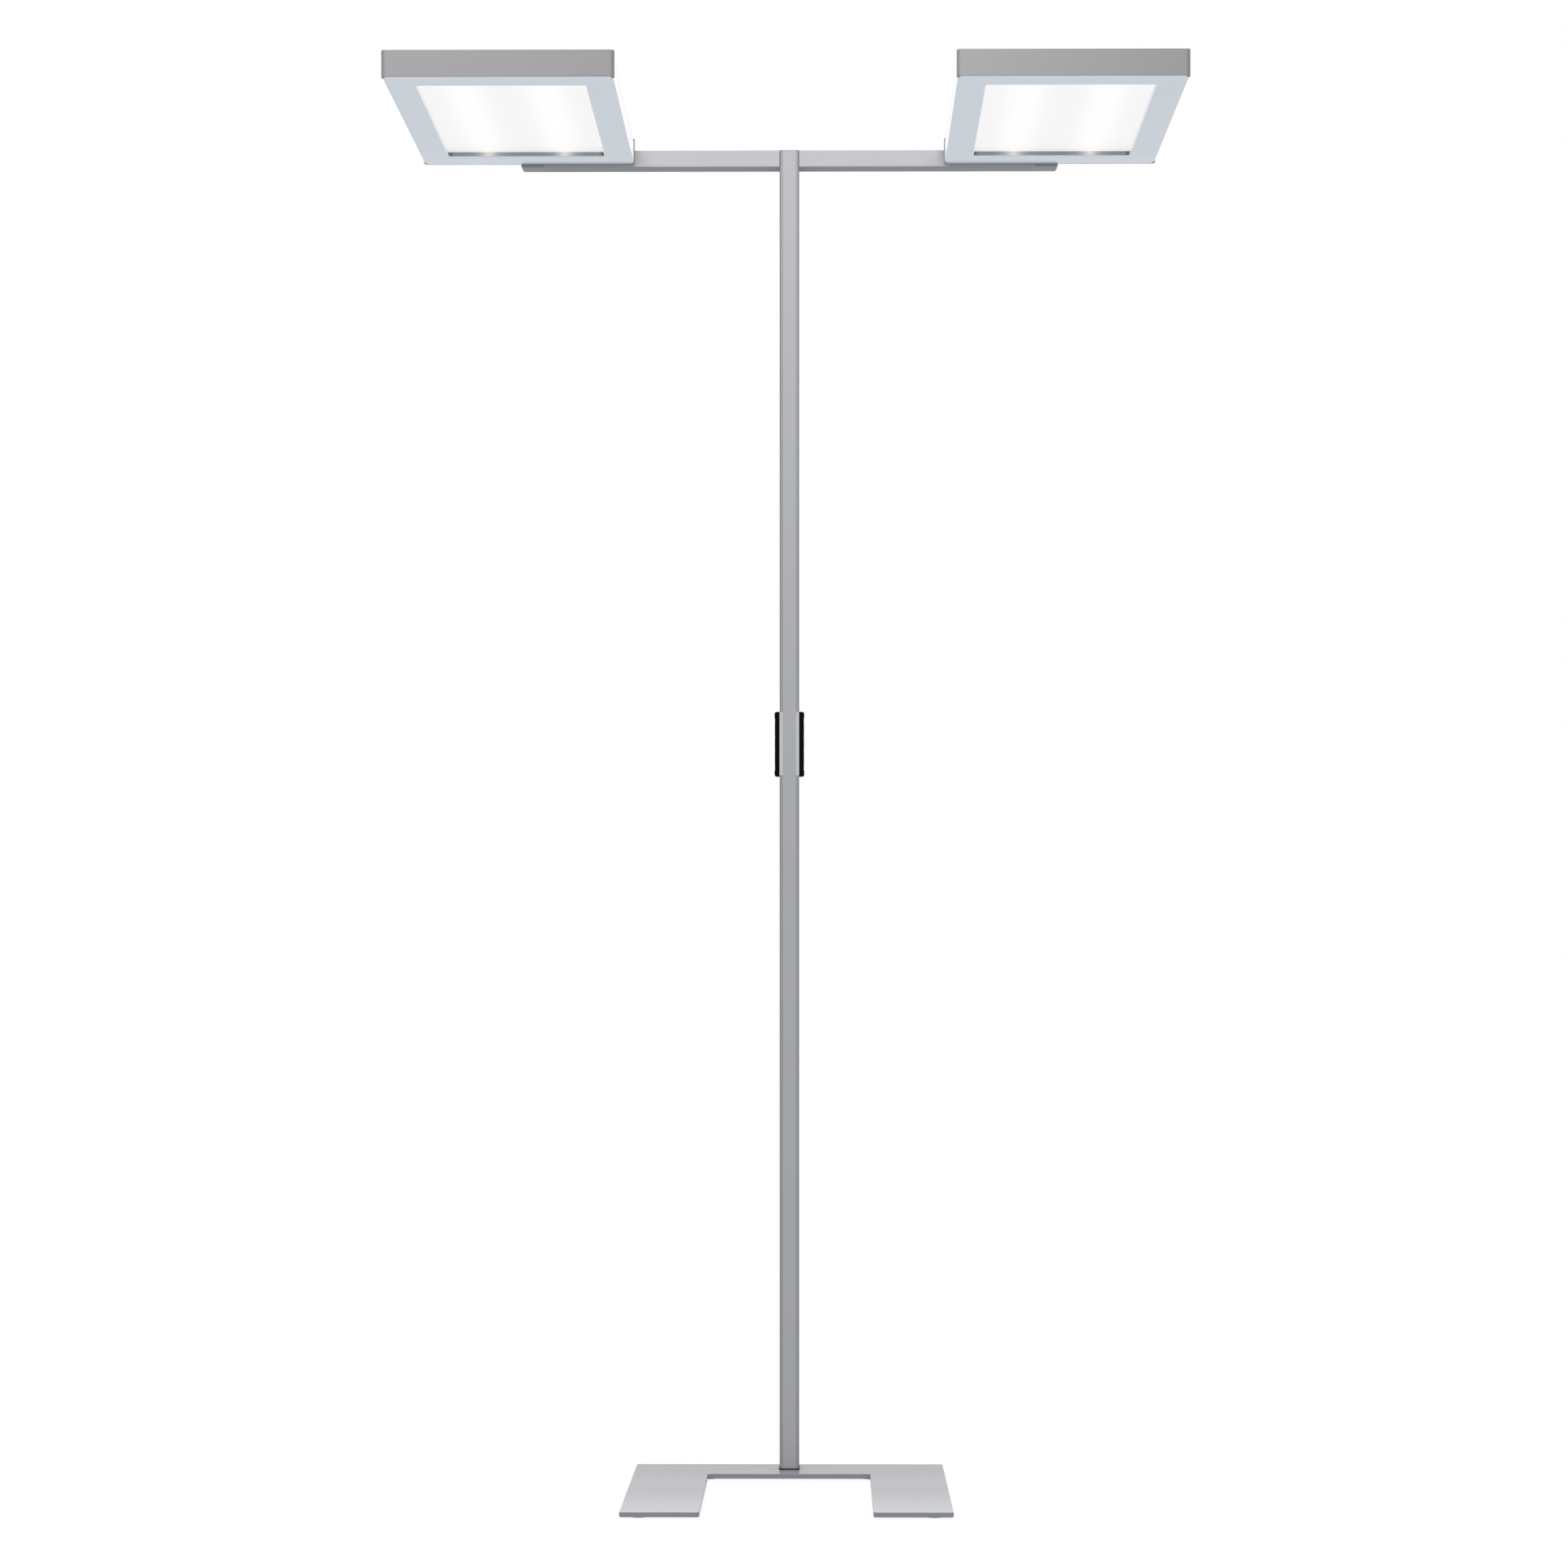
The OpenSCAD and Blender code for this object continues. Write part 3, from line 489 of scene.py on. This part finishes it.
# circuit board with copper tracks showing through its green lacquer
def circuitBoard(name, look):
    board = Finish(name, {"Roughness": look["rough"]})
    tracks = board.noise(700, 0, stretch=(1, 1, 0.25)).rise(0.48, 0.52)
    return board.feed(Base_Color=board.blend(tracks, look["bare"], look["track"]))


guideLook = {
    "plastic": [(0.55, 0.75, 0.58), (0.62, 0.80, 0.64)],
    "glow": [(0.2, 0.8, 0.3), (0.3, 0.9, 0.4)],
    "strength": 0.25,
}


# clear green plastic, lit from behind
def lightGuide(name, look):
    guide = Finish(name, {"Roughness": 0.12, "IOR": 1.49, "Emission Strength": look["strength"]})
    cloud = guide.noise(900, 2)
    return guide.feed(
        Base_Color=guide.blend(cloud, *look["plastic"]),
        Emission_Color=guide.blend(cloud, *look["glow"]))


slotFinishes = {
    "foot_paint": powderCoat("foot_paint", coatLook["foot"]),
    "panel_paint": powderCoat("panel_paint", coatLook["panel"]),
    "post_aluminium": satinLacquer("post_lacquer", lacquerLook["post"]),
    "frame_aluminium": satinLacquer("head_lacquer", lacquerLook["head"]),
    "bracket_casting": satinLacquer("bracket_lacquer", lacquerLook["bracket"]),
    "polished_aluminium": polishedSheet("polished_sheet", sheetLook),
    "plain_steel": zincSteel("zinc_steel", zincLook),
    "screw_steel": zincSteel("zinc_screws", zincLook),
    "opal_diffuser": litDiffuser("lit_diffuser", diffuserLook),
    "clear_cover": acrylicCover("acrylic_cover", coverLook),
    "lamp_glass": lampGlass("lamp_glass", lampLook),
    "white_plastic": mouldedPlastic("white_plastic", plasticLook["white"]),
    "black_plastic": mouldedPlastic("black_plastic", plasticLook["black"]),
    "key_plastic": mouldedPlastic("key_plastic", plasticLook["key"]),
    "glide_plastic": mouldedPlastic("glide_plastic", plasticLook["glide"]),
    "black_rubber": mouldedPlastic("black_rubber", plasticLook["rubber"]),
    "circuit_board": circuitBoard("circuit_board", boardLook),
    "lens_plastic": lightGuide("light_guide", guideLook),
}
armFinish = satinLacquer("arm_lacquer", lacquerLook["arm"])
liningFinish = windowLining("window_lining", liningLook)
ownFinishes = {  # nodes that look different from the rest of their slot
    "arm_left": armFinish,
    "arm_right": armFinish,
    "window_trim_left": liningFinish,
    "window_trim_right": liningFinish,
}

for part in frame["record"]["subparts"]:
    finish = ownFinishes.get(part["node"], slotFinishes[part["material_slot"]])
    for place in nodes[part["node"]].material_slots:
        place.material = finish
print("finishes on", len(nodes), "nodes")


# a mesh from a finished bmesh, with all its faces turned outwards
def meshFrom(shape, name):
    bmesh.ops.recalc_face_normals(shape, faces=shape.faces)
    data = bpy.data.meshes.new(name)
    shape.to_mesh(data)
    shape.free()
    return data


def addPiece(name, data, finish):
    data.materials.append(finish)
    piece = bpy.data.objects.new(name, data)
    scene.collection.objects.link(piece)
    return piece


symbolLook = {
    "size": 5.2 * mm,
    "line": 0.8 * mm,
    "thick": 0.05 * mm,
    "colour": (0.62, 0.63, 0.64),
    "ring": 0.46,  # radius of the on/off ring, as a share of the size
    "gap": math.radians(35),  # half of the ring's opening
    "stem": (0.5, 0.4),  # the stroke in it: its length and the height of its middle
}


def symbolInk(look):
    ink = Finish("key_symbol_ink", {})
    wear = ink.noise(1500, 3)
    return ink.feed(
        Base_Color=ink.blend(wear, scaled(look["colour"], 0.85), look["colour"]),
        Roughness=0.45 + 0.1 * wear)


# flat strokes in the plane of a key, from closed outlines of (y, z) points
def strokeMesh(name, outlines, thickness):
    strokes = bmesh.new()
    for outline in outlines:
        low = [strokes.verts.new((0, y, z)) for y, z in outline]
        high = [strokes.verts.new((thickness, y, z)) for y, z in outline]
        strokes.faces.new(high)
        strokes.faces.new(list(reversed(low)))
        for i in range(len(outline)):
            j = (i + 1) % len(outline)
            strokes.faces.new((low[i], low[j], high[j], high[i]))
    return meshFrom(strokes, name)


def barOutline(width, height, middle=(0, 0), steps=16):  # with round ends
    r = min(width, height) / 2
    turns = [2 * math.pi * (k + 0.5) / steps for k in range(steps)]
    return [
        (middle[0] + math.copysign(width / 2 - r, math.cos(a)) + r * math.cos(a),
         middle[1] + math.copysign(height / 2 - r, math.sin(a)) + r * math.sin(a))
        for a in turns]


def arcOutline(radius, line, start, end, steps=28):
    turns = [start + (end - start) * k / steps for k in range(steps + 1)]
    outer = radius + line / 2
    inner = radius - line / 2
    there = [(outer * math.sin(a), outer * math.cos(a)) for a in turns]
    back = [(inner * math.sin(a), inner * math.cos(a)) for a in reversed(turns)]
    return there + back


# minus for darker, plus for brighter, and a ring with a stroke for on and off
def symbolOutlines(kind, look):
    size = look["size"]
    line = look["line"]
    bar = barOutline(size, line)
    if kind == "down":
        return [bar]
    if kind == "up":
        arm = (size - line) / 2
        reach = (line + arm) / 2
        return [bar] + [barOutline(line, arm, (0, side * reach)) for side in (1, -1)]
    ring = arcOutline(size * look["ring"], line, look["gap"], 2 * math.pi - look["gap"])
    length, height = look["stem"]
    return [ring, barOutline(line, size * length, (0, size * height))]


clipLook = {
    "width": 4.6 * mm,  # over the front of the post
    "thick": 0.3 * mm,
    "corner": 2.5 * mm,  # the post's own edge radius
    "short": 1 * mm,  # how far it stops before the ends of the control unit
}


# light-grey clip that holds a control unit, bent round the front edge of the post
def clipMesh(name, look, side, steps=6):
    postLow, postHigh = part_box("post")
    unitLow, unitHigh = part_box(f"control_housing_{side}")
    turns = [math.pi / 2 * k / steps for k in range(steps + 1)]
    bend = (postHigh[0] - look["corner"], postLow[1] + look["corner"])
    rows = []
    for r in (look["corner"], look["corner"] + look["thick"]):
        arc = [(bend[0] + r * math.sin(a), bend[1] - r * math.cos(a)) for a in turns]
        rows.append([(postHigh[0] - look["width"], bend[1] - r)] + arc + [(bend[0] + r, unitLow[1])])
    section = rows[1] + rows[0][::-1]
    sign = 1 if side == "right" else -1
    sheet = bmesh.new()
    ends = [
        [sheet.verts.new((sign * x, y, z)) for x, y in section]
        for z in (unitLow[2] + look["short"], unitHigh[2] - look["short"])]
    for i in range(len(section)):
        j = (i + 1) % len(section)
        sheet.faces.new((ends[0][i], ends[0][j], ends[1][j], ends[1][i]))
    for end in ends:
        for i in range(len(rows[0]) - 1):
            sheet.faces.new((end[i], end[i + 1], end[-2 - i], end[-1 - i]))
    return meshFrom(sheet, name)


clipFinish = satinLacquer("clip_lacquer", lacquerLook["clip"])
for side in ("left", "right"):
    name = f"control_clip_{side}"
    clip = addPiece(name, clipMesh(name, clipLook, side), clipFinish)
    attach(clip, "lamp")
print("control clips made")

ink = symbolInk(symbolLook)
for side, sign in (("left", -1), ("right", 1)):
    for kind in ("up", "power", "down"):
        low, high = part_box(f"key_{kind}_{side}")
        middle = [(low[i] + high[i]) / 2 for i in range(3)]
        face = high[0] if sign > 0 else low[0]
        name = f"symbol_{kind}_{side}"
        data = strokeMesh(name, symbolOutlines(kind, symbolLook), sign * symbolLook["thick"])
        data.transform(Matrix.Translation((face, middle[1], middle[2])))
        symbol = addPiece(name, data, ink)
        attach(symbol, f"{kind}_key_{side}")
print("key symbols made")


studioLook = {
    "reach": 20,  # metres of floor on each side
    "paper": (0.305, 0.322, 0.337),
    "floorTint": (0.94, 1.0, 1.055),  # of the light that it gives, not of what the camera sees
    "floorGlow": 0.25,
    "floorSeen": 0.54,  # added for the camera's own rays, so that the paper stays white
    "floorMirrored": 0.42,  # and for the rays that a gloss sends down
    "horizon": 1.0,
    "zenith": 0.75,
    "sides": 0.6,  # how much darker the studio is to the left and right
    "softboxPower": 23,  # watts
    "softboxSize": (1.9, 0.8),
    "softboxPlace": (-0.05, -2.2, 2.75),
    "softboxAim": (0, 0.26, 1.75),
}


def studioFloor(look):
    reach = look["reach"]
    corners = [(-reach, -reach, 0), (reach, -reach, 0), (reach, reach, 0), (-reach, reach, 0)]
    data = bpy.data.meshes.new("studio_floor")
    data.from_pydata(corners, [], [(0, 1, 2, 3)])
    paper = Finish("studio_paper", {
        "Roughness": 0.9, "Specular IOR Level": 0, "Emission Strength": 1})
    ray = paper.add("ShaderNodeLightPath").outputs
    seen = Value(paper, ray["Is Camera Ray"])
    mirrored = Value(paper, ray["Is Glossy Ray"])
    glow = look["floorGlow"] + look["floorSeen"] * seen + look["floorMirrored"] * mirrored
    tint = paper.blend(seen, look["floorTint"], (1, 1, 1))
    paper.feed(
        Base_Color=paper.blend(paper.noise(2, 2), scaled(look["paper"], 0.98), look["paper"]),
        Emission_Color=paper.times(paper.blend(glow, (0, 0, 0), (1, 1, 1)), tint))
    floor = addPiece("studio_floor", data, paper.material)


def studioWorld(look):
    world = bpy.data.worlds.new("studio_world")
    world.use_nodes = True
    scene.world = world
    sky = Graph(world.node_tree)
    direction = sky.add("ShaderNodeTexCoord").outputs["Generated"]
    across, _, up = sky.split(direction)
    seen = Value(sky, sky.add("ShaderNodeLightPath").outputs["Is Camera Ray"])
    light = look["horizon"] + (look["zenith"] - look["horizon"]) * up.rise(0, 1)
    shaded = light * (1 - look["sides"] * across ** 2)
    strength = seen + (1 - seen) * shaded
    shine = sky.add("ShaderNodeBackground", sockets={"Color": (1, 1, 1), "Strength": strength})
    sky.add("ShaderNodeOutputWorld", sockets={"Surface": shine.outputs[0]})


def studioSoftbox(look):
    data = bpy.data.lights.new("front_softbox", "AREA")
    data.shape = "RECTANGLE"
    data.size, data.size_y = look["softboxSize"]
    data.energy = look["softboxPower"]
    softbox = bpy.data.objects.new("front_softbox", data)
    scene.collection.objects.link(softbox)
    softbox.location = look["softboxPlace"]
    aim = Vector(look["softboxAim"]) - Vector(look["softboxPlace"])
    softbox.rotation_euler = aim.to_track_quat("-Z", "Y").to_euler()
    softbox.visible_camera = False


studioFloor(studioLook)
studioWorld(studioLook)
studioSoftbox(studioLook)
scene.view_settings.view_transform = "Standard"
print("studio ready")
